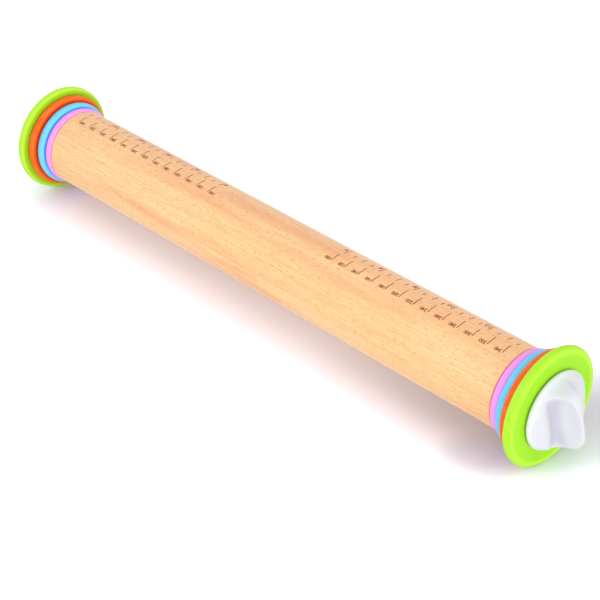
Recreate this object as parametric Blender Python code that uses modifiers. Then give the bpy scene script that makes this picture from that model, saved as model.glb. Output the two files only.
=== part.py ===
"""Adjustable rolling pin: a beech roller with four stacked spacer rings and a screw-in knob at each end.

The roller lies along X, with Z up and its middle at the origin. Each end is built in the frame of an
empty on the roller's end face, whose own +Z points out of the pin, and every piece there is turned
about that axis. All lengths are in metres.
"""

import math

import bmesh
import bpy

MM = 0.001

# Beech roller
ROLLER_RADIUS = 23.0 * MM
ROLLER_LENGTH = 357.0 * MM
ROLLER_EDGE = 0.8 * MM

# Spacer rings, from the roller outwards: name and how far the rim stands above the roller
RING_RISES = {
    "pink": 1.0 * MM,
    "blue": 3.0 * MM,
    "orange": 6.0 * MM,
    "green": 10.0 * MM,
}
RING_THICKNESS = 5.0 * MM
RING_RIM_ROUND = 2.2 * MM

# Screw thread of the stud
THREAD_RADIUS = 9.5 * MM
THREAD_DEPTH = 1.5 * MM
THREAD_PITCH = 5.0 * MM
THREAD_CREST = 1.4 * MM
THREAD_ROOT = 3.0 * MM
THREAD_LEAD_IN = 1.5 * MM
THREAD_RUN_OUT = 4.0 * MM

# Stud
STUD_REACH = 25.0 * MM
STUD_TIP_EDGE = 0.8 * MM
STUD_HEAD_RADIUS = 12.0 * MM
STUD_HEAD_THICKNESS = 1.6 * MM

# Threaded insert in the wood
INSERT_WALL = 3.0 * MM
INSERT_END_ROOM = 0.6 * MM
INSERT_MOUTH_EDGE = 0.5 * MM
COLLAR_OVERHANG = 2.6 * MM
COLLAR_THICKNESS = 2.0 * MM

# Knob
KNOB_RADIUS = 22.1 * MM
KNOB_HEIGHT = 19.6 * MM
KNOB_TURN = math.radians(15.0)
BAR_HALF_WIDTH = 1.2 * MM
FLANK_REACH = 6.0 * MM
FLANK_CURVE_RADIUS = 50.0 * MM
FLANGE_THICKNESS = 3.2 * MM

# Clearances
PIECE_GAP = 0.3 * MM
BORE_CLEARANCE = 0.4 * MM
THREAD_SINK = 0.4 * MM
CUT_OVERRUN = 5.0 * MM

# Facets
RING_STEPS = 40
ROLLER_STEPS = 40
STUD_STEPS = 24
THREAD_STEPS = 16
INSERT_STEPS = 32
KNOB_STEPS = 36
FLANK_STEPS = 72
FLANK_ARC_PARTS = 6
ROUND_PARTS = 3
MERGE_LIMIT = 0.005 * MM
SMOOTH_ANGLE = math.radians(35.0)

# Outer line of the knob, from its top to its foot: share of the radius, share of the height
KNOB_LINE_SHARES = (
    (0.0, 1.0),
    (0.27, 0.99),
    (0.46, 0.955),
    (0.60, 0.91),
    (0.71, 0.84),
    (0.785, 0.74),
    (0.83, 0.62),
    (0.845, 0.49),
    (0.86, 0.355),
    (0.885, 0.235),
    (0.93, 0.172),
    (0.98, 0.129),
    (1.0, 0.08),
    (1.0, 0.032),
    (0.965, 0.0),
)

# Sizes that follow from those above
RING_BORE_RADIUS = THREAD_RADIUS + BORE_CLEARANCE
RING_PITCH = RING_THICKNESS + PIECE_GAP
STACK_LENGTH = RING_PITCH * len(RING_RISES)
KNOB_FOOT = STACK_LENGTH + PIECE_GAP
STUD_CORE_RADIUS = THREAD_RADIUS - THREAD_DEPTH
SOCKET_RADIUS = STUD_HEAD_RADIUS + PIECE_GAP
SOCKET_DEPTH = STUD_HEAD_THICKNESS + 2 * PIECE_GAP
STUD_HEAD_FOOT = KNOB_FOOT + PIECE_GAP
THREAD_START = THREAD_LEAD_IN + THREAD_ROOT / 2 - STUD_REACH
THREAD_END = STUD_HEAD_FOOT - THREAD_RUN_OUT - THREAD_ROOT / 2
THREAD_TURNS = int((THREAD_END - THREAD_START) / THREAD_PITCH)
INSERT_BORE_RADIUS = THREAD_RADIUS + BORE_CLEARANCE
INSERT_LENGTH = STUD_REACH + STACK_LENGTH + INSERT_END_ROOM
INSERT_RADIUS = INSERT_BORE_RADIUS + INSERT_WALL
COLLAR_RADIUS = INSERT_RADIUS + COLLAR_OVERHANG
WOOD_BORE_RADIUS = INSERT_RADIUS + PIECE_GAP
WOOD_BORE_DEPTH = INSERT_LENGTH + PIECE_GAP
WOOD_RECESS_RADIUS = COLLAR_RADIUS + PIECE_GAP
WOOD_RECESS_DEPTH = COLLAR_THICKNESS + PIECE_GAP

COLOURS = {
    "beech": ((0.930, 0.640, 0.390, 1.0), 0.55),
    "pink": ((0.970, 0.350, 0.830, 1.0), 0.35),
    "blue": ((0.100, 0.660, 0.930, 1.0), 0.35),
    "orange": ((1.000, 0.150, 0.020, 1.0), 0.35),
    "green": ((0.390, 0.800, 0.050, 1.0), 0.35),
    "white": ((0.870, 0.870, 0.880, 1.0), 0.30),
    "grey": ((0.620, 0.630, 0.640, 1.0), 0.45),
}


def clear_scene():
    """Remove every object that the file starts with."""
    for old in list(bpy.data.objects):
        bpy.data.objects.remove(old, do_unlink=True)


def make_collection(name):
    """Make a collection under the scene's own."""
    collection = bpy.data.collections.new(name)
    bpy.context.scene.collection.children.link(collection)
    return collection


def make_materials():
    """Make a Principled BSDF material for each colour."""
    made = {}
    for name, (colour, roughness) in COLOURS.items():
        material = bpy.data.materials.new(name)
        material.use_nodes = True
        shader = material.node_tree.nodes["Principled BSDF"]
        shader.inputs["Base Color"].default_value = colour
        shader.inputs["Roughness"].default_value = roughness
        shader.inputs["Metallic"].default_value = 0.0
        made[name] = material
    return made


def corner(radius, height, size, start, parts=ROUND_PARTS):
    """Points of a quarter round that turns clockwise from the angle start about (radius, height)."""
    points = []
    for step in range(parts + 1):
        angle = math.radians(start - 90.0 * step / parts)
        points.append((radius + size * math.cos(angle), height + size * math.sin(angle)))
    return points


def profile_object(name, points, collection, turn=0.0):
    """An object of edges only: the points (radius, height) joined in order, in a half plane turned about Z."""
    mesh = bpy.data.meshes.new(name)
    places = [(r * math.cos(turn), r * math.sin(turn), z) for r, z in points]
    edges = [(i, i + 1) for i in range(len(places) - 1)]
    mesh.from_pydata(places, edges, [])
    made = bpy.data.objects.new(name, mesh)
    collection.objects.link(made)
    return made


def turned(name, points, steps, collection, turn=0.0):
    """Turn an outline about Z with a Screw modifier. The outline runs down its outer side."""
    made = profile_object(name, points, collection, turn)
    screw = made.modifiers.new("Turn", "SCREW")
    screw.axis = "Z"
    screw.steps = steps
    screw.render_steps = steps
    screw.use_merge_vertices = True
    screw.merge_threshold = MERGE_LIMIT
    return made


def evaluated_mesh(made):
    """The mesh that an object's modifiers give."""
    bpy.context.view_layer.update()
    seen = made.evaluated_get(bpy.context.evaluated_depsgraph_get())
    return bpy.data.meshes.new_from_object(seen)


def finish(made, parent, height, material):
    """Seat a piece in its frame, keep the mesh its modifiers give and shade its round faces smooth."""
    made.parent = parent
    made.location = (0.0, 0.0, height)
    mesh = evaluated_mesh(made)
    made.modifiers.clear()
    made.data = mesh
    mesh.name = made.name
    mesh.materials.clear()
    mesh.materials.append(material)
    mesh.shade_smooth()
    mesh.set_sharp_from_angle(angle=SMOOTH_ANGLE)
    return made


def make_guide(made, frame):
    """Seat a cutter or a guide in its frame and keep it out of renders."""
    made.parent = frame
    made.hide_render = True
    made.display_type = "WIRE"


def roller(collection, materials):
    """The beech roller, with a stepped blind bore for an insert in each end."""
    half = ROLLER_LENGTH / 2
    bore_floor = half - WOOD_BORE_DEPTH
    recess_floor = half - WOOD_RECESS_DEPTH
    upper = [
        (0.0, bore_floor),
        (WOOD_BORE_RADIUS, bore_floor),
        (WOOD_BORE_RADIUS, recess_floor),
        (WOOD_RECESS_RADIUS, recess_floor),
        (WOOD_RECESS_RADIUS, half),
    ]
    upper += corner(ROLLER_RADIUS - ROLLER_EDGE, half - ROLLER_EDGE, ROLLER_EDGE, 90.0)
    lower = [(r, -z) for r, z in reversed(upper)]
    made = turned("roller_body", upper + lower, ROLLER_STEPS, collection)
    made.rotation_euler = (0.0, math.pi / 2, 0.0)
    return finish(made, None, 0.0, materials["beech"])


def end_frame(side, collection):
    """An empty on the middle of an end face, with +Z pointing out of the pin."""
    frame = bpy.data.objects.new(side + "_end", None)
    frame.empty_display_size = ROLLER_RADIUS
    collection.objects.link(frame)
    if side == "right":
        frame.location = (ROLLER_LENGTH / 2, 0.0, 0.0)
        frame.rotation_euler = (0.0, math.pi / 2, 0.0)
    else:
        frame.location = (-ROLLER_LENGTH / 2, 0.0, 0.0)
        frame.rotation_euler = (0.0, math.pi / 2, math.pi)
    return frame


def ring(name, rise, collection):
    """A flat disc with a bore for the stud and a rounded rim. Its rim has a flat facet straight down."""
    radius = ROLLER_RADIUS + rise
    half = RING_THICKNESS / 2
    points = [(RING_BORE_RADIUS, half)]
    points += corner(radius - RING_RIM_ROUND, half - RING_RIM_ROUND, RING_RIM_ROUND, 90.0)
    points += corner(radius - RING_RIM_ROUND, RING_RIM_ROUND - half, RING_RIM_ROUND, 0.0)
    points += [(RING_BORE_RADIUS, -half), (RING_BORE_RADIUS, half)]
    return turned(name, points, RING_STEPS, collection, math.pi / RING_STEPS)


def insert(name, collection):
    """The bush glued in the end of the roller: a sleeve with a collar flush with the end face."""
    mouth = INSERT_BORE_RADIUS + INSERT_MOUTH_EDGE
    points = [
        (INSERT_BORE_RADIUS, -INSERT_MOUTH_EDGE),
        (mouth, 0.0),
        (COLLAR_RADIUS, 0.0),
        (COLLAR_RADIUS, -COLLAR_THICKNESS),
        (INSERT_RADIUS, -COLLAR_THICKNESS),
        (INSERT_RADIUS, -INSERT_LENGTH),
        (INSERT_BORE_RADIUS, -INSERT_LENGTH),
        (INSERT_BORE_RADIUS, -INSERT_MOUTH_EDGE),
    ]
    return turned(name, points, INSERT_STEPS, collection)


def thread(name, collection):
    """One closed helical ridge, swept by a Screw modifier and capped at both ends."""
    inner = STUD_CORE_RADIUS - THREAD_SINK
    section = [
        (inner, THREAD_START + THREAD_ROOT / 2),
        (THREAD_RADIUS, THREAD_START + THREAD_CREST / 2),
        (THREAD_RADIUS, THREAD_START - THREAD_CREST / 2),
        (inner, THREAD_START - THREAD_ROOT / 2),
        (inner, THREAD_START + THREAD_ROOT / 2),
    ]
    made = profile_object(name, section, collection)
    screw = made.modifiers.new("Thread", "SCREW")
    screw.axis = "Z"
    screw.steps = THREAD_STEPS
    screw.render_steps = THREAD_STEPS
    screw.screw_offset = THREAD_PITCH
    screw.iterations = THREAD_TURNS
    body = evaluated_mesh(made)
    made.modifiers.clear()
    shape = bmesh.new()
    shape.from_mesh(body)
    bmesh.ops.remove_doubles(shape, verts=shape.verts, dist=MERGE_LIMIT)
    open_edges = [edge for edge in shape.edges if edge.is_boundary]
    bmesh.ops.holes_fill(shape, edges=open_edges)
    bmesh.ops.recalc_face_normals(shape, faces=shape.faces)
    shape.to_mesh(body)
    shape.free()
    made.data = body
    return made


def stud(name, frame, collection, cutters):
    """The screw that clamps the stack: a head held in the knob, a core and a right-hand thread."""
    head_top = STUD_HEAD_FOOT + STUD_HEAD_THICKNESS
    points = [
        (0.0, head_top),
        (STUD_HEAD_RADIUS, head_top),
        (STUD_HEAD_RADIUS, STUD_HEAD_FOOT),
        (STUD_CORE_RADIUS, STUD_HEAD_FOOT),
        (STUD_CORE_RADIUS, STUD_TIP_EDGE - STUD_REACH),
        (STUD_CORE_RADIUS - STUD_TIP_EDGE, -STUD_REACH),
        (0.0, -STUD_REACH),
    ]
    made = turned(name, points, STUD_STEPS, collection)
    ridge = thread(name + "_thread", cutters)
    make_guide(ridge, frame)
    join = made.modifiers.new("Thread", "BOOLEAN")
    join.operation = "UNION"
    join.solver = "EXACT"
    join.object = ridge
    return made


def flank_cutter(name, side, frame, cutters):
    """A large turned solid whose curved lower edge hollows one side of the knob's bar."""
    floor = FLANGE_THICKNESS
    rise = KNOB_HEIGHT - FLANGE_THICKNESS
    outer = FLANK_CURVE_RADIUS
    points = [(0.0, KNOB_HEIGHT + CUT_OVERRUN), (outer, KNOB_HEIGHT + CUT_OVERRUN)]
    for step in range(FLANK_ARC_PARTS + 1):
        angle = math.pi / 2 * step / FLANK_ARC_PARTS
        inward = FLANK_REACH * (1.0 - math.cos(angle))
        points.append((outer - inward, floor + rise * (1.0 - math.sin(angle))))
    points.append((0.0, floor))
    made = turned(name, points, FLANK_STEPS, cutters)
    make_guide(made, frame)
    across = side * (BAR_HALF_WIDTH + FLANK_CURVE_RADIUS)
    made.location = (-across * math.sin(KNOB_TURN), across * math.cos(KNOB_TURN), KNOB_FOOT)
    return made


def knob(name, frame, collection, cutters):
    """The knob: a bell on a flange, pinched on two sides to a finger bar, with a socket for the stud."""
    points = [(r * KNOB_RADIUS, h * KNOB_HEIGHT) for r, h in KNOB_LINE_SHARES]
    points += [(SOCKET_RADIUS, 0.0), (SOCKET_RADIUS, SOCKET_DEPTH), (0.0, SOCKET_DEPTH)]
    made = turned(name, points, KNOB_STEPS, collection)
    for label, side in (("_cut_a", -1.0), ("_cut_b", 1.0)):
        cut = made.modifiers.new("Flank", "BOOLEAN")
        cut.operation = "DIFFERENCE"
        cut.solver = "EXACT"
        cut.object = flank_cutter(name + label, side, frame, cutters)
    return made


def build_end(side, collection, cutters, materials):
    """All pieces of one end, from the insert in the wood to the knob."""
    frame = end_frame(side, collection)
    finish(insert(side + "_threaded_insert", collection), frame, 0.0, materials["grey"])
    height = PIECE_GAP + RING_THICKNESS / 2
    for colour, rise in RING_RISES.items():
        made = ring(side + "_" + colour + "_ring", rise, collection)
        finish(made, frame, height, materials[colour])
        height += RING_PITCH
    screw = stud(side + "_knob_stud", frame, collection, cutters)
    finish(screw, frame, 0.0, materials["white"])
    grip = knob(side + "_knob", frame, collection, cutters)
    finish(grip, frame, KNOB_FOOT, materials["white"])


def main():
    """Build the whole pin."""
    clear_scene()
    collection = make_collection("adjustable_rolling_pin")
    cutters = make_collection("cutters")
    materials = make_materials()
    roller(collection, materials)
    for side in ("left", "right"):
        build_end(side, collection, cutters, materials)


main()
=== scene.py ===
"""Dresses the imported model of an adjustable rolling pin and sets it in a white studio.

The roller lies along X with its middle at the origin and Z up. The near end in the picture is at +X, and the camera
stands on the side of -Y. Every piece of an end is modelled at +X and copied to -X by half a turn about Z, except the
ruler, whose numbers read the same way on both halves. All sizes are in metres, and angles round the roller are
measured from its top towards the camera's side.
"""

from __future__ import annotations

import logging
import math
from collections.abc import Callable, Iterator, Mapping
from contextlib import contextmanager
from dataclasses import dataclass
from enum import Enum

import bmesh
import bpy
from mathutils import Matrix, Vector


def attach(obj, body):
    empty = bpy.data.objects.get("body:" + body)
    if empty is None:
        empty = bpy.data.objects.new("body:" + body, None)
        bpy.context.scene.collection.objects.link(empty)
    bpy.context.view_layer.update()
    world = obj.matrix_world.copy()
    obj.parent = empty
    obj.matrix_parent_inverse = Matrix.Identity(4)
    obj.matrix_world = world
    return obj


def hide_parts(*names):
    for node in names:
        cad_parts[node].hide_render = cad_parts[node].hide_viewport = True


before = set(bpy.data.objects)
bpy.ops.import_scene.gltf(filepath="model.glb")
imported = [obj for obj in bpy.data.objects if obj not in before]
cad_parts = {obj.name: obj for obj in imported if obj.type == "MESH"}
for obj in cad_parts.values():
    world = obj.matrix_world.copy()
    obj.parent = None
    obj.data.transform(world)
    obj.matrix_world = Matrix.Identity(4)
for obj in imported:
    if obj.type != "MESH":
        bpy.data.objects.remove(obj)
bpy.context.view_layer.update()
MM = 0.001

log = logging.getLogger("rolling_pin")

Pair = tuple[float, float]
Triple = tuple[float, float, float]
Colour = tuple[float, float, float, float]
HighlightBand = tuple[float, float, float, float]
PointTest = Callable[[Vector], bool]

WHITE = (1.0, 1.0, 1.0, 1.0)
# The angle past which an edge stays sharp where the faces beside it are shaded as round.
CREASE = math.radians(32.0)
# The wood's end, the knob's foot, the bore of the rings and bushes, the thread's pitch and the finger bar's lean.
WOOD_END = 178.5 * MM
KNOB_FOOT = WOOD_END + 21.5 * MM
BORE_RADIUS = 9.9 * MM
PITCH = 5.0 * MM
LEAN = math.radians(15.0)


class Named(Enum):
    """A choice whose name stands in the names of pieces and bodies."""

    @property
    def label(self) -> str:
        """That name in lower case."""
        return self.name.lower()


class Side(Named):
    """The two ends of the pin, with the sign of X that each lies on."""

    LEFT = -1
    RIGHT = 1


# How far in from a rim the band of painted highlight beside it starts, is full, is still full and ends.
NARROW_HIGHLIGHT_BAND = (2.6 * MM, 1.4 * MM, 0.9 * MM, 0.0)
BROAD_HIGHLIGHT_BAND = (4.8 * MM, 2.6 * MM, 2.0 * MM, 0.3 * MM)
# The share of the painted highlight's colour on a rim.
BRIGHT_RIM_HIGHLIGHT = 0.45
DULL_RIM_HIGHLIGHT = 0.12


class RingKind(Named):
    """The four spacer rings of an end, from the roller outwards.

    Each has its place in the stack, its rise above the roller, and its colour in the middle, in its flow marks and
    in a painted highlight at its rim. Last come that painted highlight's share on the outer half of the rim, and the
    band of painted highlight beside it.
    """

    PINK = (0, 1.0 * MM, "#ff8eea", "#fa80e0", "#ffb0f8", BRIGHT_RIM_HIGHLIGHT, NARROW_HIGHLIGHT_BAND)
    BLUE = (1, 3.0 * MM, "#48c8fc", "#36b8f8", "#8ce4ff", BRIGHT_RIM_HIGHLIGHT, NARROW_HIGHLIGHT_BAND)
    ORANGE = (2, 6.0 * MM, "#fc440c", "#f63c06", "#ff8414", BRIGHT_RIM_HIGHLIGHT, NARROW_HIGHLIGHT_BAND)
    GREEN = (3, 10.0 * MM, "#a4e626", "#9adc1a", "#ccf84a", DULL_RIM_HIGHLIGHT, BROAD_HIGHLIGHT_BAND)


# ---- shader graphs


def linear(code: str) -> Colour:
    """Turn a written colour into the linear colour that a shader takes.

    Args:
        code: The colour as # and six hexadecimal digits.

    Returns:
        Red, green, blue and an alpha of 1.
    """
    parts = [int(code[i : i + 2], 16) / 255 for i in (1, 3, 5)]
    red, green, blue = (p / 12.92 if p <= 0.04045 else ((p + 0.055) / 1.055) ** 2.4 for p in parts)
    return (red, green, blue, 1.0)


class Signal:
    """A value on its way through a shader graph. Python's operators on it add Math nodes."""

    def __init__(self, graph: Graph, socket: bpy.types.NodeSocket) -> None:
        """Wrap a socket of a graph's node."""
        self.graph = graph
        self.socket = socket

    def maths(self, operation: str, *others: float | Signal) -> Signal:
        """Add a Math node with this operation on the value and others, in order."""
        return self.graph.node("Math", dict(enumerate((self, *others))), {"operation": operation})

    def __add__(self, other: float | Signal) -> Signal:
        """Self plus other."""
        return self.maths("ADD", other)

    __radd__ = __add__

    def __sub__(self, other: float | Signal) -> Signal:
        """Self minus other."""
        return self.maths("SUBTRACT", other)

    def __rsub__(self, other: float) -> Signal:
        """Other minus self."""
        return self * -1.0 + other

    def __mul__(self, other: float | Signal) -> Signal:
        """Self times other."""
        return self.maths("MULTIPLY", other)

    __rmul__ = __mul__

    def __truediv__(self, other: float | Signal) -> Signal:
        """Self divided by other."""
        return self.maths("DIVIDE", other)

    def __abs__(self) -> Signal:
        """The value without its sign."""
        return self.maths("ABSOLUTE")

    def between(self, low: float, high: float) -> Signal:
        """Rise smoothly from 0 at low to 1 at high, or fall where low is the larger."""
        feeds = {"Value": self, "From Min": low, "From Max": high}
        return self.graph.node("MapRange", feeds, {"interpolation_type": "SMOOTHSTEP"})


class Graph:
    """A node tree that is being built."""

    def __init__(self, tree: bpy.types.NodeTree) -> None:
        """Take a tree."""
        self.tree = tree

    def node(
        self,
        kind: str,
        feeds: Mapping[int | str, object] | None = None,
        settings: Mapping[str, object] | None = None,
        output: int | str = 0,
    ) -> Signal:
        """Add any node.

        Args:
            kind: The node's type, without ShaderNode.
            feeds: A value or a signal for each of its sockets, by name or number.
            settings: Its settings by name.
            output: The socket that is wanted.

        Returns:
            The signal that leaves that socket.
        """
        made = self.tree.nodes.new("ShaderNode" + kind)
        for name, value in (settings or {}).items():
            setattr(made, name, value)
        for key, feed in (feeds or {}).items():
            if isinstance(feed, Signal):
                self.tree.links.new(feed.socket, made.inputs[key])
            else:
                made.inputs[key].default_value = feed
        return Signal(self, made.outputs[output])


class Surface(Graph):
    """The node tree of one material, which ends in its Principled shader."""

    def __init__(self, name: str, **constants: float) -> None:
        """Make the material.

        Args:
            name: The material's name.
            constants: Values for the shader's own sockets, with _ for the spaces in their names.
        """
        self.material = bpy.data.materials.new(name)
        self.material.use_nodes = True
        super().__init__(self.material.node_tree)
        self.shader = self.tree.nodes["Principled BSDF"]
        for key, value in constants.items():
            self.shader.inputs[key.replace("_", " ").title().replace("Ior", "IOR")].default_value = value
        self.coordinates = self.node("TexCoord", output="Object")

    def place(self, along: float, across: float, shift: Triple = (0.0, 0.0, 0.0)) -> Signal:
        """Object coordinates counted in cells of this size, with the pattern moved by this many cells."""
        feeds = {"Vector": self.coordinates, "Location": shift, "Scale": (1 / along, 1 / across, 1 / across)}
        return self.node("Mapping", feeds)

    def noise(
        self,
        along: float,
        across: float,
        detail: float,
        roughness: float,
        distortion: float = 0.0,
        shift: Triple = (0.0, 0.0, 0.0),
    ) -> Signal:
        """Make noise.

        Args:
            along: The size of its cells along the pin.
            across: Their size across it.
            detail: The number of finer layers.
            roughness: How strong those are.
            distortion: How far it is bent.
            shift: How far it is moved, in cells.

        Returns:
            Numbers from 0 to 1.
        """
        where = self.place(along, across, shift)
        feeds = {"Vector": where, "Scale": 1.0, "Detail": detail, "Roughness": roughness, "Distortion": distortion}
        return self.node("TexNoise", feeds)

    def split(self) -> tuple[Signal, ...]:
        """The object coordinates X, Y and Z as numbers."""
        return tuple(self.node("SeparateXYZ", {"Vector": self.coordinates}, None, axis) for axis in "XYZ")

    def radius(self) -> Signal:
        """The distance from the pin's axis."""
        across = self.node("VectorMath", {0: self.coordinates, 1: (0.0, 1.0, 1.0)}, {"operation": "MULTIPLY"})
        return self.node("VectorMath", {0: across}, {"operation": "LENGTH"}, "Value")

    def blend(self, share: Signal, low: object, high: object) -> Signal:
        """Mix two colours or signals of colours: low where the share is 0, and high where it is 1."""
        return self.node("Mix", {0: share, 6: low, 7: high}, {"data_type": "RGBA"}, 2)

    def bump(self, height: Signal, depth: float, strength: float) -> Signal:
        """A normal for a relief from 0 to 1 that is this deep, and of which this much shows."""
        return self.node("Bump", {"Height": height, "Distance": depth, "Strength": strength})

    def finish(self, **links: Signal) -> bpy.types.Material:
        """Link signals to the shader.

        Args:
            links: A signal for each of the shader's sockets, with _ for the spaces in their names.

        Returns:
            The finished material.
        """
        for key, signal in links.items():
            self.tree.links.new(signal.socket, self.shader.inputs[key.replace("_", " ").title()])
        return self.material


# ---- finishes


@dataclass(frozen=True)
class Beech:
    """Fine sanded beech: pale bands, a pinker heart, fine fibres and the short dark flecks of its rays, with painted
    shade that makes it pinker and darker towards the back.
    """

    pale: str = "#ffd79f"
    warm: str = "#ffcf95"
    heart: str = "#f4ae7f"
    fleck: str = "#cf8f55"
    end_grain: str = "#e2b17c"

    def make(self) -> bpy.types.Material:
        """Build the material.

        Returns:
            The material.
        """
        graph = Surface("beech", ior=1.45, sheen_weight=0.5, sheen_roughness=0.3)
        x, y, z = graph.split()
        bands = graph.noise(170 * MM, 9 * MM, 3.0, 0.55, 0.4)
        lines = graph.noise(50 * MM, 1.2 * MM, 2.0, 0.6, 0.2, (3.1, 0.7, 0.2))
        fibres = graph.noise(14 * MM, 0.34 * MM, 2.0, 0.7)
        hearts = graph.noise(150 * MM, 13 * MM, 2.0, 0.5, 0.3, (0.35, 0.4, 1.9))
        tone = graph.blend(bands.between(0.36, 0.64), linear(self.pale), linear(self.warm))
        tone = graph.blend(hearts.between(0.52, 0.72) * 0.75, tone, linear(self.heart))
        tone = graph.blend(lines.between(0.42, 0.72) * 0.42, tone, linear(self.heart))
        # Painted shade: the wood turns pinker and darker towards +Y, the side away from the camera.
        tone = graph.blend(y.between(-21 * MM, 8 * MM) * 0.38, tone, linear(self.heart))
        band = abs(y - 1 * MM + bands * (3 * MM)).between(3.6 * MM, 0.8 * MM) * z.between(0.0, 5 * MM)
        streak = band * x.between(-62 * MM, -30 * MM) * x.between(72 * MM, 44 * MM)
        tone = graph.blend(streak * 0.6, tone, linear(self.heart))
        tone = graph.blend(fibres.between(0.45, 0.8) * 0.42, tone, linear(self.fleck))
        marks = self.flecks(graph, 0.85 * MM, 5.4 * MM, 0.0) * 0.55
        small = self.flecks(graph, 0.6 * MM, 3.6 * MM, 5.3) * 0.55
        tone = graph.blend(marks, tone, linear(self.fleck))
        tone = graph.blend(small, tone, linear(self.fleck))
        ends = abs(x).between(WOOD_END - 0.4 * MM, WOOD_END - 0.1 * MM)
        tone = graph.blend(ends * 0.8, tone, linear(self.end_grain))
        relief = fibres * 0.6 - marks * 0.5
        return graph.finish(
            base_color=tone,
            roughness=0.5 + fibres * 0.12 + marks * 0.1,
            normal=graph.bump(relief, 0.06 * MM, 0.5),
        )

    def flecks(self, graph: Surface, width: float, length: float, shift: float) -> Signal:
        """Spindles that lie along the roller, some in each region.

        Args:
            graph: The material's graph.
            width: The size of a spindle's cell across the roller.
            length: The size of that cell along it.
            shift: How far the pattern is moved, in cells.

        Returns:
            1 on a spindle and 0 off it.
        """
        where = graph.place(length, width, (shift, shift, shift))
        feeds = {"Vector": where, "Scale": 1.0, "Randomness": 1.0}
        near = graph.node("TexVoronoi", feeds, output="Distance")
        which = graph.node("TexVoronoi", feeds, output="Color")
        chosen = graph.node("SeparateColor", {0: which}).between(0.2, 0.5)
        return near.between(0.34, 0.12) * chosen


@dataclass(frozen=True)
class Burn:
    """Ruler marks burnt into the wood by a laser: brown, uneven and dull."""

    dark: str = "#742f12"
    light: str = "#ae5c2e"

    def make(self) -> bpy.types.Material:
        """Build the material.

        Returns:
            The material.
        """
        graph = Surface("burnt_marks", ior=1.4)
        char = graph.noise(0.7 * MM, 0.5 * MM, 3.0, 0.6)
        tone = graph.blend(char.between(0.3, 0.7), linear(self.dark), linear(self.light))
        return graph.finish(base_color=tone, roughness=0.72 + char * 0.2, normal=graph.bump(char, 0.05 * MM, 0.6))


@dataclass(frozen=True)
class Plastic:
    """Satin moulded plastic: faint flow marks, a fine skin, the mould's turning lines, a rubbed, slightly paler rim,
    and a painted highlight on the rim and a band beside it.
    """

    name: str
    colour: str
    deep: str
    glow: str
    rim: float
    roughness: float = 0.4
    coat: float = 0.03
    specular: float = 0.16
    depth: float = 0.0
    wall: float = BRIGHT_RIM_HIGHLIGHT
    bead: HighlightBand = NARROW_HIGHLIGHT_BAND
    middle: float = 197.2 * MM
    lines: float = 0.45 * MM

    def make(self) -> bpy.types.Material:
        """Build the material.

        Returns:
            The material.
        """
        graph = Surface(
            self.name,
            ior=1.5,
            specular_ior_level=self.specular,
            coat_weight=self.coat,
            coat_roughness=0.12,
            subsurface_weight=self.depth,
            subsurface_scale=4 * MM,
        )
        radius = graph.radius()
        flow = graph.noise(18 * MM, 18 * MM, 3.0, 0.5, 0.8)
        skin = graph.noise(0.9 * MM, 0.9 * MM, 2.0, 0.5)
        rubs = graph.noise(3 * MM, 5 * MM, 3.0, 0.6)
        worn = radius.between(self.rim - 1.3 * MM, self.rim - 0.1 * MM) * rubs.between(0.42, 0.75)
        turning = (radius / self.lines * math.tau).maths("SINE") * 0.5 + 0.5
        tone = graph.blend(flow.between(0.35, 0.7) * 0.35, linear(self.colour), linear(self.deep))
        x, *_ = graph.split()
        outside = abs(x).between(self.middle - 1.2 * MM, self.middle + 1.2 * MM)
        inside = 1 - outside
        # Painted highlight: the rim and a band beside it are lightened towards the highlight's colour, in full share
        # on faces towards the pin's middle.
        rim_highlight_mask = radius.between(self.rim - 1.8 * MM, self.rim) * (self.wall + (BRIGHT_RIM_HIGHLIGHT - self.wall) * inside)
        band_highlight_mask = self.beads(radius, NARROW_HIGHLIGHT_BAND) * inside + self.beads(radius, self.bead) * outside
        tone = graph.blend(rim_highlight_mask + band_highlight_mask * 0.5, tone, linear(self.glow))
        tone = graph.blend(worn * 0.06, tone, WHITE)
        tone = self.age(graph, tone)
        relief = skin * 0.7 + turning * 0.3
        return graph.finish(
            base_color=tone,
            roughness=self.roughness + skin * 0.08 + worn * 0.12,
            normal=graph.bump(relief, 0.02 * MM, 0.35),
        )

    def beads(self, radius: Signal, bead: HighlightBand) -> Signal:
        """Give 1 on the band of painted highlight beside the rim and 0 off it."""
        start, full, still, end = (self.rim - inward for inward in bead)
        return radius.between(start, full) * radius.between(end, still)

    def age(self, graph: Surface, tone: Signal) -> Signal:
        """Paint no shade: leave the colour as it was moulded."""
        return tone


@dataclass(frozen=True)
class GripPlastic(Plastic):
    """The knobs' plastic, with painted shade that greys the hollows beside the finger bar."""

    hollow: str = "#b4afc4"

    def age(self, graph: Surface, tone: Signal) -> Signal:
        """Paint shade into the hollows.

        Args:
            graph: The material's graph.
            tone: The colour as it was moulded.

        Returns:
            The colour with the hollows greyed.
        """
        x, y, z = graph.split()
        across = abs(y * x.maths("SIGN") * math.cos(LEAN) + z * math.sin(LEAN))
        height = abs(x) - KNOB_FOOT
        beside = across.between(2.2 * MM, 5.6 * MM) * across.between(11.5 * MM, 7 * MM)
        inside = graph.radius().between(19.5 * MM, 15 * MM) * height.between(17 * MM, 8 * MM)
        # Painted shade: greyer in the hollows on both sides of the bar, below its crest.
        return graph.blend(beside * inside * 0.55, tone, linear(self.hollow))


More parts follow.
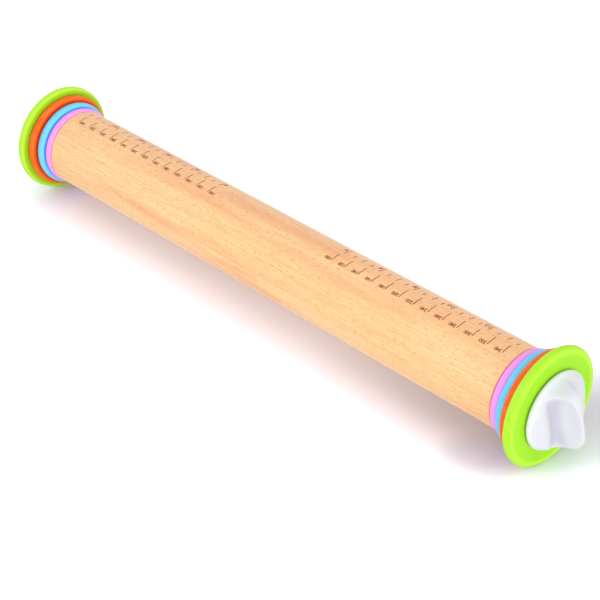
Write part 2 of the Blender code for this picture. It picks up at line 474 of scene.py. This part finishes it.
@dataclass(frozen=True)
class Bushing:
    """Plain grey plastic with a coarse thread moulded in its bore, drawn as a relief with painted shade in its
    grooves.
    """

    colour: str = "#cfd0d2"
    deep: str = "#b9babd"

    def make(self) -> bpy.types.Material:
        """Build the material.

        Returns:
            The material.
        """
        graph = Surface("bushing_plastic", ior=1.48)
        x, y, z = graph.split()
        turn = z.maths("ARCTAN2", y) / math.tau
        phase = (x / PITCH - turn).maths("FRACT")
        groove = abs(phase - 0.5).between(0.12, 0.3)
        inside = graph.radius().between(BORE_RADIUS + 0.3 * MM, BORE_RADIUS + 0.1 * MM)
        skin = graph.noise(0.8 * MM, 0.8 * MM, 3.0, 0.6)
        # Painted shade: the thread's grooves in the bore are darkened.
        shade = groove * inside
        tone = graph.blend(skin.between(0.3, 0.8) * 0.4 + shade * 0.5, linear(self.colour), linear(self.deep))
        relief = shade + skin * 0.04
        return graph.finish(base_color=tone, roughness=0.42 + skin * 0.12, normal=graph.bump(relief, 0.8 * MM, 0.8))


# ---- modelling


def select_all() -> None:
    """Select all of the mesh that is being edited."""
    bpy.ops.mesh.select_all(action="SELECT")


def from_axis(spot: Vector) -> float:
    """Give a point's distance from the pin's axis."""
    return math.hypot(spot.y, spot.z)


class Workpiece:
    """An object on the bench, shaped with Blender's own operators. Its mesh always holds its place."""

    def __init__(self, thing: bpy.types.Object, name: str) -> None:
        """Put an object's place into its mesh.

        Args:
            thing: The object.
            name: A name for it and its mesh.
        """
        self.thing = thing
        thing.name = name
        thing.data.name = name
        self.settle()

    @classmethod
    def cylinder(cls, name: str, radius: float, start: float, end: float, sides: int) -> Workpiece:
        """A closed cylinder on the pin's axis.

        Args:
            name: The piece's name.
            radius: Its radius.
            start: Its lower X.
            end: Its higher X.
            sides: How many flat sides stand for the round.

        Returns:
            The piece.
        """
        bpy.ops.mesh.primitive_cylinder_add(
            vertices=sides,
            radius=radius,
            depth=end - start,
            location=((start + end) / 2, 0.0, 0.0),
            rotation=(0.0, math.pi / 2, 0.0),
        )
        return cls(bpy.context.object, name)

    @classmethod
    def turned(cls, name: str, outline: list[Pair], steps: int, centre: Vector | None = None) -> Workpiece:
        """A shape turned about a line along X: its outline is drawn by extruding a point, then spun.

        Args:
            name: The piece's name.
            outline: Its points, as place along X and distance from the line.
            steps: How many steps stand for the round.
            centre: A point of the line, or none for the pin's axis.

        Returns:
            The piece.
        """
        axis_point = centre or Vector((0.0, 0.0, 0.0))
        corners = [axis_point + Vector((along, 0.0, radius)) for along, radius in outline]
        bpy.ops.mesh.primitive_plane_add(size=MM, location=corners[0])
        piece = cls(bpy.context.object, name)
        with piece.editing("VERT"):
            select_all()
            bpy.ops.mesh.merge(type="CENTER")
            for previous, following in zip(corners, corners[1:]):
                bpy.ops.mesh.extrude_region_move(TRANSFORM_OT_translate={"value": following - previous})
            select_all()
            bpy.ops.mesh.spin(steps=steps, angle=math.tau, center=axis_point, axis=(1.0, 0.0, 0.0))
        piece.weld()
        return piece

    @property
    def mesh(self) -> bpy.types.Mesh:
        """The piece's mesh."""
        return self.thing.data

    def hold(self) -> None:
        """Make the piece the only selected and the active object."""
        bpy.ops.object.select_all(action="DESELECT")
        self.thing.select_set(True)
        bpy.context.view_layer.objects.active = self.thing

    def settle(self) -> None:
        """Put the object's place, turn and scale into its mesh."""
        self.hold()
        bpy.ops.object.transform_apply(location=True, rotation=True, scale=True)

    @contextmanager
    def editing(self, kind: str) -> Iterator[None]:
        """Keep the piece in edit mode with nothing selected at first.

        Args:
            kind: What is selected: VERT, EDGE or FACE.
        """
        self.hold()
        bpy.ops.object.mode_set(mode="EDIT")
        bpy.ops.mesh.select_mode(type=kind)
        bpy.ops.mesh.select_all(action="DESELECT")
        yield
        bpy.ops.object.mode_set(mode="OBJECT")

    def pick(self, kind: str, test: Callable[..., bool]) -> None:
        """Select the parts of the mesh that pass a test, and no others.

        Args:
            kind: Which parts: verts, edges or faces.
            test: The test of one of them.
        """
        bpy.ops.mesh.select_all(action="DESELECT")
        shape = bmesh.from_edit_mesh(self.mesh)
        parts = getattr(shape, kind)
        parts.index_update()
        for part in parts:
            part.select_set(test(part))
        bmesh.update_edit_mesh(self.mesh)

    def pick_edges(self, test: PointTest) -> None:
        """Select the edges that don't run along X and of which both ends pass a test, and no others.

        Args:
            test: The test of an end's place.
        """

        def passes(edge: bmesh.types.BMEdge) -> bool:
            """Test an edge."""
            first, second = (corner.co for corner in edge.verts)
            return abs(first.x - second.x) < 0.01 * MM and test(first) and test(second)

        self.pick("edges", passes)

    def bevel(self, width: float, segments: int) -> None:
        """Round the selected edges off."""
        bpy.ops.mesh.bevel(offset=width, offset_type="OFFSET", segments=segments, profile=0.5, affect="EDGES")

    def modify(self, kind: str, **settings: object) -> None:
        """Add a modifier and apply it.

        Args:
            kind: The modifier's type.
            settings: Its settings by name.
        """
        self.hold()
        modifier = self.thing.modifiers.new(kind.title(), kind)
        for key, value in settings.items():
            setattr(modifier, key, value)
        bpy.ops.object.modifier_apply(modifier=modifier.name)

    def cut(self, tool: Workpiece) -> None:
        """Take the shape of another piece out of this one and throw that piece away."""
        self.modify("BOOLEAN", operation="DIFFERENCE", solver="EXACT", object=tool.thing)
        bpy.data.objects.remove(tool.thing)

    def weld(self) -> None:
        """Merge doubles and point all faces outwards."""
        with self.editing("VERT"):
            select_all()
            bpy.ops.mesh.remove_doubles(threshold=0.002 * MM)
            bpy.ops.mesh.normals_make_consistent(inside=False)

    def smooth(self) -> None:
        """Shade round faces smooth and keep flat faces flat."""
        self.hold()
        bpy.ops.object.shade_smooth_by_angle(angle=CREASE)
        self.modify("WEIGHTED_NORMAL", keep_sharp=True, weight=60)

    def absorb(self, others: list[Workpiece]) -> None:
        """Join other pieces into this one.

        Args:
            others: Those pieces.
        """
        self.hold()
        for other in others:
            other.thing.select_set(True)
        bpy.ops.object.join()

    def dress(self, material: bpy.types.Material, body: str, nodes: tuple[str, ...], slot: str | None) -> None:
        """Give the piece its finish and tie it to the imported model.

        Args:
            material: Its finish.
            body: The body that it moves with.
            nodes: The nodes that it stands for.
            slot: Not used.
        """
        self.mesh.materials.clear()
        self.mesh.materials.append(material)
        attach(self.thing, body)
        if nodes:
            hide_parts(*nodes)
        log.info("%s rides on %s, %d faces", self.thing.name, body, len(self.mesh.polygons))

    def pair(self, material: bpy.types.Material, body: str, node: str, slot: str) -> None:
        """Copy a piece of the right end to the left end, by half a turn about Z, and dress both.

        Args:
            material: Their finish.
            body: The body that the right one moves with.
            node: The node that the right one stands for.
            slot: Passed on to dress, which does not use it.
        """
        self.hold()
        bpy.ops.object.duplicate(linked=False)
        copy = bpy.context.object
        copy.rotation_euler = (0.0, 0.0, math.pi)
        left = Workpiece(copy, self.thing.name.replace("right", "left"))
        self.dress(material, body, (node,), slot)
        left.dress(material, body.replace("right", "left"), (node.replace("right", "left"),), slot)


# ---- sub-assemblies


@dataclass
class Roller:
    """The beech roller, with a stepped bore for a bush in each end."""

    radius: float = 23.0 * MM
    edge: float = 0.8 * MM
    recess_radius: float = 15.8 * MM
    recess_depth: float = 2.3 * MM
    bore_radius: float = 13.2 * MM
    bore_depth: float = 47.1 * MM
    sides: int = 192
    finish: Beech = Beech()

    def build(self) -> Workpiece:
        """Shape the roller: a cylinder whose ends are inset and pushed in twice, with rounded rims.

        Returns:
            The roller.
        """
        piece = Workpiece.cylinder("roller", self.radius, -WOOD_END, WOOD_END, self.sides)
        with piece.editing("FACE"):
            for side in Side:
                sign = side.value
                piece.pick("faces", lambda face: face.normal.x * sign > 0.9)
                self.sink(self.radius - self.recess_radius, -sign * self.recess_depth)
                self.sink(self.recess_radius - self.bore_radius, -sign * (self.bore_depth - self.recess_depth))
            bpy.ops.mesh.select_mode(type="EDGE")
            inner = self.recess_radius + MM
            piece.pick_edges(lambda spot: abs(spot.x) > WOOD_END - MM and from_axis(spot) > inner)
            piece.bevel(self.edge, 5)
            piece.pick_edges(lambda spot: abs(spot.x) > WOOD_END - MM and from_axis(spot) < inner)
            piece.bevel(self.edge / 4, 2)
        piece.smooth()
        return piece

    def sink(self, width: float, travel: float) -> None:
        """Inset the selected face by a width and push it along X."""
        bpy.ops.mesh.inset(thickness=width, use_even_offset=True)
        bpy.ops.mesh.extrude_region_move(TRANSFORM_OT_translate={"value": (travel, 0.0, 0.0)})

    def assemble(self) -> Workpiece:
        """Build the roller and dress it.

        Returns:
            The roller.
        """
        piece = self.build()
        piece.dress(self.finish.make(), "roller", ("roller_body",), "beech")
        return piece


@dataclass(frozen=True)
class Row:
    """A row of marks: strokes at even steps from the pin's middle, with a number beside every few of them.

    A stroke runs between two angles in degrees, and the lower one differs for a fourth step, an odd one and the
    others. The number, about an angle of its own, counts a width for each step.
    """

    name: str
    step: float
    first: int
    last: int
    lows: Triple
    high: float
    text: float
    middle: float
    every: int
    width: float


@dataclass
class Ruler:
    """The two rows of burnt marks: widths in millimetres and in inches, both counted across the pin's middle."""

    radius: float
    stroke: float = 0.5 * MM
    proud: float = 0.03 * MM
    thickness: float = 0.1 * MM
    rows: tuple[Row, ...] = (
        Row("millimetre", 10.0 * MM, 5, 17, (-0.5, -0.5, -0.5), 16.5, 2.1 * MM, 15.2, every=1, width=20),
        Row("inch", 6.35 * MM, 8, 27, (-21.5, -14.8, -19.4), -7.6, 3.1 * MM, -16.3, every=4, width=0.5),
    )
    text_gap: float = 0.8 * MM
    digit_share: float = 0.69
    digit_spacing: float = 0.94
    digit_weight: float = 0.09 * MM
    digit_cuts: tuple[float, ...] = (-0.3, -0.1, 0.1, 0.3)
    tick_cuts: int = 7
    off_middle: float = 0.2 * MM
    apart: float = 0.7 * MM
    left_turn: float = -1.8
    finish: Burn = Burn()

    def tick(self, along: float, start: float, end: float) -> Workpiece:
        """One stroke round the roller.

        Args:
            along: Its X.
            start: The angle at which it starts, in degrees.
            end: The angle at which it ends.

        Returns:
            A flat strip on the plane that touches the roller at the strip's middle.
        """
        bpy.ops.mesh.primitive_plane_add(size=1.0)
        strip = bpy.context.object
        strip.scale = (self.stroke, math.radians(end - start) * self.radius, 1.0)
        piece = Workpiece(strip, "tick")
        with piece.editing("EDGE"):
            select_all()
            bpy.ops.mesh.subdivide(number_cuts=self.tick_cuts)
        return self.lay(piece, along, (start + end) / 2)

    def number(self, text: str, along: float, height: float, middle: float, side: Side) -> Workpiece:
        """One number beside its tick, on the side of the pin's middle.

        Args:
            text: The digits.
            along: The tick's X.
            height: The digits' height.
            middle: The angle of their middle, in degrees.
            side: The half of the pin.

        Returns:
            Flat digits on the plane that touches the roller at their middle.
        """
        bpy.ops.object.text_add()
        words = bpy.context.object.data
        words.body = text
        words.align_x = words.align_y = "CENTER"
        words.resolution_u = 3
        words.size = height / self.digit_share
        words.space_character = self.digit_spacing
        words.offset = self.digit_weight
        bpy.ops.object.convert(target="MESH")
        flat = Workpiece(bpy.context.object, "number")
        spots = [corner.co for corner in flat.mesh.vertices]
        left, right = min(spot.x for spot in spots), max(spot.x for spot in spots)
        low, high = min(spot.y for spot in spots), max(spot.y for spot in spots)
        flat.thing.location = (-(left + right) / 2, -(low + high) / 2, 0.0)
        flat.settle()
        with flat.editing("VERT"):
            for share in self.digit_cuts:
                select_all()
                bpy.ops.mesh.bisect(plane_co=(0.0, share * height, 0.0), plane_no=(0.0, 1.0, 0.0))
        flat.thing.rotation_euler = (0.0, 0.0, math.pi)
        flat.settle()
        offset = (right - left) / 2 + self.stroke / 2 + self.text_gap
        return self.lay(flat, along - side.value * offset, middle)

    def lay(self, piece: Workpiece, along: float, angle: float) -> Workpiece:
        """Turn a flat piece from the XY plane to its place against the roller.

        Args:
            piece: The flat piece, about the origin.
            along: Its X.
            angle: Its angle, in degrees.

        Returns:
            The same piece.
        """
        lean = math.radians(angle + (self.left_turn if along < 0.0 else 0.0))
        piece.thing.rotation_euler = (lean, 0.0, 0.0)
        piece.thing.location = (along, -math.sin(lean) * self.radius, math.cos(lean) * self.radius)
        piece.settle()
        return piece

    def wrap(self, name: str, marks: list[Workpiece], roller: Workpiece) -> Workpiece:
        """Join marks, bend them onto the wood and give them a thickness.

        Args:
            name: The name of the joined piece.
            marks: The flat marks.
            roller: The wood.

        Returns:
            The joined piece.
        """
        first, *others = marks
        first.absorb(others)
        row = Workpiece(first.thing, name)
        row.modify(
            "SHRINKWRAP",
            target=roller.thing,
            wrap_method="NEAREST_SURFACEPOINT",
            wrap_mode="ABOVE_SURFACE",
            offset=self.proud,
        )
        row.modify("SOLIDIFY", thickness=self.thickness, offset=-1.0)
        row.smooth()
        return row

    def burn(self, row: Row, side: Side, roller: Workpiece) -> Workpiece:
        """Make one row on one half.

        Args:
            row: Which row.
            side: Which half.
            roller: The wood.

        Returns:
            The marks as one piece.
        """
        marks = []
        for step in range(row.first, row.last + 1):
            along = self.off_middle + side.value * (step * row.step + self.apart)
            low = row.lows[0 if step % 4 == 0 else 1 if step % 2 else 2]
            marks.append(self.tick(along, low, row.high))
            if step % row.every == 0:
                marks.append(self.number(str(round(step * row.width)), along, row.text, row.middle, side))
        return self.wrap(f"{side.label}_{row.name}_marks", marks, roller)

    def assemble(self, roller: Workpiece) -> None:
        """Build all four rows and dress them.

        Args:
            roller: The wood.
        """
        burnt = self.finish.make()
        for side in Side:
            for piece in [self.burn(row, side, roller) for row in self.rows]:
                piece.dress(burnt, "roller", (), None)


@dataclass
class Bush:
    """The threaded insert: a sleeve glued in the wood, with a collar flush with the end face."""

    sleeve_radius: float = 12.9 * MM
    collar_radius: float = 15.5 * MM
    collar_thickness: float = 2.0 * MM
    length: float = 46.8 * MM
    mouth: float = 0.5 * MM
    edge: float = 0.3 * MM
    steps: int = 96
    finish: Bushing = Bushing()

    def build(self) -> Workpiece:
        """Turn the sleeve and round its collar's rim.

        Returns:
            The bush of the right end.
        """
        foot = WOOD_END - self.length
        under = WOOD_END - self.collar_thickness
        mouth = (WOOD_END - self.mouth, BORE_RADIUS)
        outline = [mouth, (WOOD_END, BORE_RADIUS + self.mouth), (WOOD_END, self.collar_radius)]
        outline += [(under, self.collar_radius), (under, self.sleeve_radius)]
        outline += [(foot, self.sleeve_radius), (foot, BORE_RADIUS), mouth]
        piece = Workpiece.turned("right_bush", outline, self.steps)
        with piece.editing("EDGE"):
            piece.pick_edges(lambda spot: from_axis(spot) > self.collar_radius - self.edge)
            piece.bevel(self.edge, 3)
        piece.smooth()
        return piece

    def assemble(self) -> None:
        """Build both bushes and dress them."""
        grey = self.finish.make()
        self.build().pair(grey, "roller", "right_threaded_insert", "grey")


@dataclass
class RingStack:
    """The four spacer rings of an end, each a flat disc with a bore and a rounded rim."""

    roller_radius: float
    thickness: float = 5.0 * MM
    gap: float = 0.3 * MM
    rim_round: float = 2.2 * MM
    bore_edge: float = 0.35 * MM
    glow_depth: float = 0.25
    sides: int = 192

    def build(self, kind: RingKind) -> Workpiece:
        """Shape a ring: a cylinder whose faces are inset and bridged to a bore, with rounded rims.

        Args:
            kind: Which ring it is.

        Returns:
            The ring of the right end.
        """
        place, rise, *_ = kind.value
        radius = self.roller_radius + rise
        start = WOOD_END + self.gap + place * (self.thickness + self.gap)
        name = "right_" + kind.label + "_spacer"
        piece = Workpiece.cylinder(name, radius, start, start + self.thickness, self.sides)
        with piece.editing("FACE"):
            piece.pick("faces", lambda face: abs(face.normal.x) > 0.9)
            bpy.ops.mesh.inset(thickness=radius - BORE_RADIUS, use_even_offset=True)
            bpy.ops.mesh.bridge_edge_loops()
            bpy.ops.mesh.select_mode(type="EDGE")
            piece.pick_edges(lambda spot: from_axis(spot) > radius - 0.1 * MM)
            piece.bevel(self.rim_round, 8)
            piece.pick_edges(lambda spot: from_axis(spot) < BORE_RADIUS + 0.1 * MM)
            piece.bevel(self.bore_edge, 3)
        piece.weld()
        piece.smooth()
        return piece

    def assemble(self) -> None:
        """Build the rings of both ends and dress them."""
        for kind in RingKind:
            _, rise, *shades, wall, bead = kind.value
            rim = self.roller_radius + rise
            plastic = Plastic(kind.label + "_plastic", *shades, rim, depth=self.glow_depth, wall=wall, bead=bead)
            name = "right_" + kind.label
            self.build(kind).pair(plastic.make(), name + "_spacer", name + "_ring", kind.label)


@dataclass
class Stud:
    """The screw that clamps the rings: a head held in the knob, a core and a coarse right-hand thread."""

    reach: float = 25.0 * MM
    head_foot: float = 21.8 * MM
    head_radius: float = 12.0 * MM
    head_thickness: float = 1.6 * MM
    core_radius: float = 8.0 * MM
    thread_radius: float = 9.5 * MM
    thread_sink: float = 0.4 * MM
    crest: float = 1.4 * MM
    root: float = 3.0 * MM
    thread_start: float = -22.0 * MM
    turns: int = 7
    steps: int = 72
    taper_steps: int = 20
    blunt: float = 0.22
    edge: float = 0.8 * MM

    def core(self) -> Workpiece:
        """Turn the head and the core, with soft edges.

        Returns:
            The stud of the right end, without its thread.
        """
        tip = WOOD_END - self.reach
        foot = WOOD_END + self.head_foot
        top = foot + self.head_thickness
        fine = self.edge / 4
        round_off = self.edge * 0.3
        outline = [(top, 0.0), (top, self.head_radius - fine), (top - fine, self.head_radius)]
        outline += [(foot + fine, self.head_radius), (foot, self.head_radius - fine)]
        outline += [(foot, self.core_radius + self.edge), (foot - round_off, self.core_radius + round_off)]
        outline += [(foot - self.edge, self.core_radius), (tip + self.edge, self.core_radius)]
        outline += [(tip + round_off, self.core_radius - round_off), (tip, self.core_radius - self.edge), (tip, 0.0)]
        return Workpiece.turned("right_stud", outline, self.steps)

    def thread(self) -> Workpiece:
        """Wind the thread's section round the core and run both of its ends out into the core.

        Returns:
            The thread.
        """
        inner = self.core_radius - self.thread_sink
        middle = WOOD_END + self.thread_start
        bpy.ops.mesh.primitive_plane_add(size=1.0, rotation=(math.pi / 2, 0.0, 0.0))
        section = bpy.context.object
        section.scale = (self.root, self.thread_radius - inner, 1.0)
        section.location = (middle, 0.0, (self.thread_radius + inner) / 2)
        piece = Workpiece(section, "thread")
        with piece.editing("EDGE"):
            top = self.thread_radius - self.thread_sink / 2
            piece.pick("edges", lambda edge: all(corner.co.z > top for corner in edge.verts))
            bpy.ops.transform.resize(value=(self.crest / self.root, 1.0, 1.0))
            select_all()
            bpy.ops.mesh.delete(type="ONLY_FACE")
        piece.modify(
            "SCREW",
            axis="X",
            screw_offset=PITCH,
            iterations=self.turns,
            steps=self.steps,
            render_steps=self.steps,
            use_merge_vertices=True,
            merge_threshold=0.001 * MM,
        )
        count = len(piece.mesh.vertices) // 4
        with piece.editing("VERT"):
            for step in range(self.taper_steps):
                share = math.sin(math.pi / 2 * step / self.taper_steps)
                height = (self.thread_radius - inner) * (self.blunt + (1 - self.blunt) * share)
                shrink = (inner + height) / self.thread_radius
                for number in (step, count - 1 - step):
                    piece.pick("verts", lambda corner: corner.index // 4 == number)
                    bpy.ops.transform.resize(value=(1.0, shrink, shrink), center_override=(0.0, 0.0, 0.0))
            bpy.ops.mesh.select_all(action="DESELECT")
            bpy.ops.mesh.select_non_manifold(extend=False)
            bpy.ops.mesh.edge_face_add()
        piece.weld()
        return piece

    def assemble(self) -> None:
        """Build both studs and dress them."""
        right = self.core()
        right.absorb([self.thread()])
        right.smooth()
        # The third colour is the painted highlight at the rim.
        white = Plastic("white_stud_plastic", "#dddde3", "#d3d4da", "#e2e2e6", self.thread_radius)
        right.pair(white.make(), "right_screw", "right_knob_stud", "white")


@dataclass
class Knob:
    """The knob: a bell on a flange, pinched on two sides to a finger bar that leans a little."""

    bar_half_width: float = 1.1 * MM
    flank_curve: float = 85.0 * MM
    socket_radius: float = 12.3 * MM
    socket_depth: float = 2.2 * MM
    voxel: float = 0.34 * MM
    soften: int = 75
    rim: float = 22.1 * MM
    steps: int = 128
    flank_steps: int = 240
    # Half sections in millimetres: height over the foot, with the distance out from the bar or from the axis.
    flank: tuple[Pair, ...] = (
        *((24.0, 0.0), (20.0, 0.0), (17.6, 0.15), (15.6, 0.35), (13.6, 0.65), (11.8, 1.05), (10.2, 1.6)),
        *((8.8, 2.3), (7.4, 3.1), (6.2, 4.0), (5.4, 5.0), (5.2, 6.2), (5.6, 7.6), (6.4, 9.2), (6.9, 10.8)),
        *((6.8, 12.4), (6.1, 14.2), (5.0, 16.2), (3.9, 18.2), (2.6, 20.5)),
    )
    bell: tuple[Pair, ...] = (
        *((19.2, 0.0), (19.2, 4.0), (19.0, 8.0), (18.6, 11.6), (17.7, 14.6), (16.3, 16.9), (14.4, 18.3)),
        *((12.1, 19.0), (9.6, 19.3), (7.0, 19.6), (4.8, 20.1), (3.5, 20.8), (2.6, 21.7), (1.7, 22.2)),
        *((0.8, 21.6), (0.0, 20.4)),
    )

    def flank_tool(self, sign: int) -> Workpiece:
        """A turned solid whose curved edge hollows one side of the bar and rounds the flange beside it.

        Args:
            sign: Which side of the bar.

        Returns:
            The tool for the cut.
        """
        outline = [(KNOB_FOOT + height * MM, self.flank_curve - out * MM) for height, out in self.flank]
        outline = [(outline[0][0], 0.0), *outline, (outline[-1][0], 0.0)]
        across = sign * (self.bar_half_width + self.flank_curve)
        centre = Vector((0.0, across * math.cos(LEAN), across * math.sin(LEAN)))
        return Workpiece.turned("flank_tool", outline, self.flank_steps, centre)

    def build(self) -> Workpiece:
        """Turn the bell, hollow its flanks and its socket, and soften every edge.

        Returns:
            The knob of the right end.
        """
        floor = KNOB_FOOT + self.socket_depth
        outline = [(KNOB_FOOT + height * MM, radius * MM) for height, radius in self.bell]
        outline += [(KNOB_FOOT, self.socket_radius), (floor, self.socket_radius), (floor, 0.0)]
        piece = Workpiece.turned("right_grip", outline, self.steps)
        for sign in (1, -1):
            piece.cut(self.flank_tool(sign))
        piece.modify("REMESH", mode="VOXEL", voxel_size=self.voxel)
        piece.modify("SMOOTH", factor=0.5, iterations=self.soften)
        piece.hold()
        bpy.ops.object.shade_smooth()
        return piece

    def assemble(self) -> None:
        """Build both knobs and dress them."""
        # The third colour is the painted highlight at the rim.
        white = GripPlastic("white_knob_plastic", "#dbdbe3", "#d6d6df", "#e4e6e9", self.rim)
        self.build().pair(white.make(), "right_grip", "right_knob", "white")


# ---- studio


@dataclass(frozen=True)
class Lamp:
    """A square soft box that looks at the pin."""

    place: Triple
    size: float
    watts: float
    target: Triple = (0.0, 0.0, 0.0)

    def hang(self) -> None:
        """Put the lamp up."""
        aim = (Vector(self.target) - Vector(self.place)).to_track_quat("-Z", "Y").to_euler()
        bpy.ops.object.light_add(type="AREA", location=self.place, rotation=aim)
        light = bpy.context.object.data
        light.shape = "SQUARE"
        light.size = self.size
        light.energy = self.watts


@dataclass
class Studio:
    """The white floor, the soft light and the camera."""

    floor_height: float = -33.0 * MM
    floor_size: float = 8.0
    ambient: float = 0.8
    floor_far: Colour = (1.45, 1.4, 1.55, 1.0)
    floor_left: Colour = (0.99, 1.02, 1.16, 1.0)
    # Painted shadow: the floor's colour near the right end, and the grey patch beside the rings, are darker than
    # plain white floor.
    floor_right: Colour = (0.73, 0.77, 0.88, 1.0)
    floor_beside: Colour = (0.72, 0.74, 0.77, 1.0)
    floor_lit: Colour = (0.9, 0.9, 0.9, 1.0)
    crossing: Pair = (30 * MM, 165 * MM)
    fade: Pair = (6 * MM, 55 * MM)
    bend: Pair = (140 * MM, 190 * MM)
    bend_width: float = 14 * MM
    # Places where painted shadow is kept: below the rings and beside them.
    below: Pair = (172 * MM, -23 * MM)
    below_reach: Pair = (27 * MM, 6 * MM)
    below_depth: float = 16 * MM
    beside: Pair = (190 * MM, 50 * MM)
    beside_reach: Pair = (75 * MM, 4 * MM)
    pin_end: float = 180 * MM
    lamps: tuple[Lamp, ...] = (
        Lamp((0.0, 0.45, 1.25), 0.7, 1.2),
        Lamp((0.6, -1.25, 0.15), 0.5, 3.8),
        Lamp((1.5, -0.35, 0.15), 0.5, 5.8),
        Lamp((-0.1, -1.0, 0.9), 0.5, 1.7, (-0.18, 0.0, 0.0)),
        Lamp((1.0, 0.8, 0.6), 0.5, 1.1),
    )
    sensor: float = 36.0
    lens: float = 103.68
    middle_seen: Triple = (-13.7 * MM, -25.35 * MM, 970.22 * MM)
    axis_seen: Triple = (0.6897, 0.39383, -0.60764)

    @staticmethod
    def length(east: Signal, north: Signal) -> Signal:
        """Give the length of a step along X and Y."""
        return (east * east + north * north).maths("SQRT")

    def floor(self) -> None:
        """Lay a large floor that keeps the pin's shadow, adds painted shadow near it, and turns to plain white a few
        centimetres away from it.

        The white starts closest along the pin's left half, and the floor near the right end is darker with painted
        shadow. Near the right end it bends towards +Y, and it keeps clear of two places: below the rings, which keep
        painted shadow, and beside them, where a grey patch is painted shadow.
        """
        bpy.ops.mesh.primitive_plane_add(size=self.floor_size, location=(0.0, 0.0, self.floor_height))
        floor = bpy.context.object
        floor.name = "studio_floor"
        graph = Surface("white_floor", roughness=0.9, specular_ior_level=0.0)
        seen = graph.node("LightPath", output="Is Camera Ray")
        x, y, _ = graph.split()
        beyond = (abs(x) - self.pin_end).maths("MAXIMUM", 0.0)
        # Painted shadow: near the right end the shaded zone reaches further towards +Y, and below the rings further
        # out.
        side = y - x.between(*self.bend) * self.bend_width
        below = self.length(x - self.below[0], y - self.below[1]).between(*self.below_reach)
        away = self.length(beyond, side) - below * self.below_depth
        near = graph.blend(x.between(*self.crossing), self.floor_left, self.floor_right)
        shown = graph.blend(away.between(*self.fade), near, self.floor_far)
        # Painted shadow: a grey patch beside the rings.
        beside = self.length(x - self.beside[0], y - self.beside[1]).between(*self.beside_reach)
        shown = graph.blend(beside, shown, self.floor_beside)
        floor.data.materials.append(graph.finish(base_color=graph.blend(seen, self.floor_lit, shown)))

    def sky(self) -> None:
        """Light the pin evenly from all round, and show plain white behind it and in its reflections."""
        world = bpy.data.worlds.new("studio")
        bpy.context.scene.world = world
        world.use_nodes = True
        graph = Graph(world.node_tree)
        camera, glossy, through = (
            graph.node("LightPath", output=f"Is {ray} Ray") for ray in ("Camera", "Glossy", "Transmission")
        )
        seen = camera.maths("MAXIMUM", glossy).maths("MAXIMUM", through)
        soft, plain = (
            graph.node("Background", {"Color": WHITE, "Strength": strength}) for strength in (self.ambient, 1.0)
        )
        light = graph.node("MixShader", {0: seen, 1: soft, 2: plain})
        graph.tree.links.new(light.socket, graph.tree.nodes["World Output"].inputs["Surface"])

    def camera(self) -> None:
        """Set the camera from the pin's middle and axis as it sees them: to its right, down and ahead."""
        across, down, ahead = self.axis_seen
        tilt = math.atan2(down, -ahead)
        level, lean = math.cos(tilt), math.sin(tilt)
        right = Vector((across, lean * down - level * ahead, 0.0)).normalized()
        up = Vector((-down, lean * across, level)).normalized()
        forward = Vector((ahead, level * across, -lean)).normalized()
        middle = Vector(self.middle_seen)
        bpy.ops.object.camera_add()
        camera = bpy.context.object
        camera.data.sensor_width = self.sensor
        camera.data.lens = self.lens
        stand = Matrix.Translation(up * middle.y - right * middle.x - forward * middle.z)
        camera.matrix_world = stand @ Matrix((right, up, -forward)).transposed().to_4x4()
        bpy.context.scene.camera = camera

    def assemble(self) -> None:
        """Put up the floor, the light and the camera."""
        self.floor()
        self.sky()
        for lamp in self.lamps:
            lamp.hang()
        self.camera()
        bpy.context.scene.view_settings.view_transform = "Standard"


def main() -> None:
    """Build the whole scene."""
    logging.basicConfig(level=logging.INFO, format="%(message)s")
    roller = Roller()
    wood = roller.assemble()
    Ruler(roller.radius).assemble(wood)
    Bush().assemble()
    RingStack(roller.radius).assemble()
    Stud().assemble()
    Knob().assemble()
    Studio().assemble()


if __name__ == "__main__":
    main()
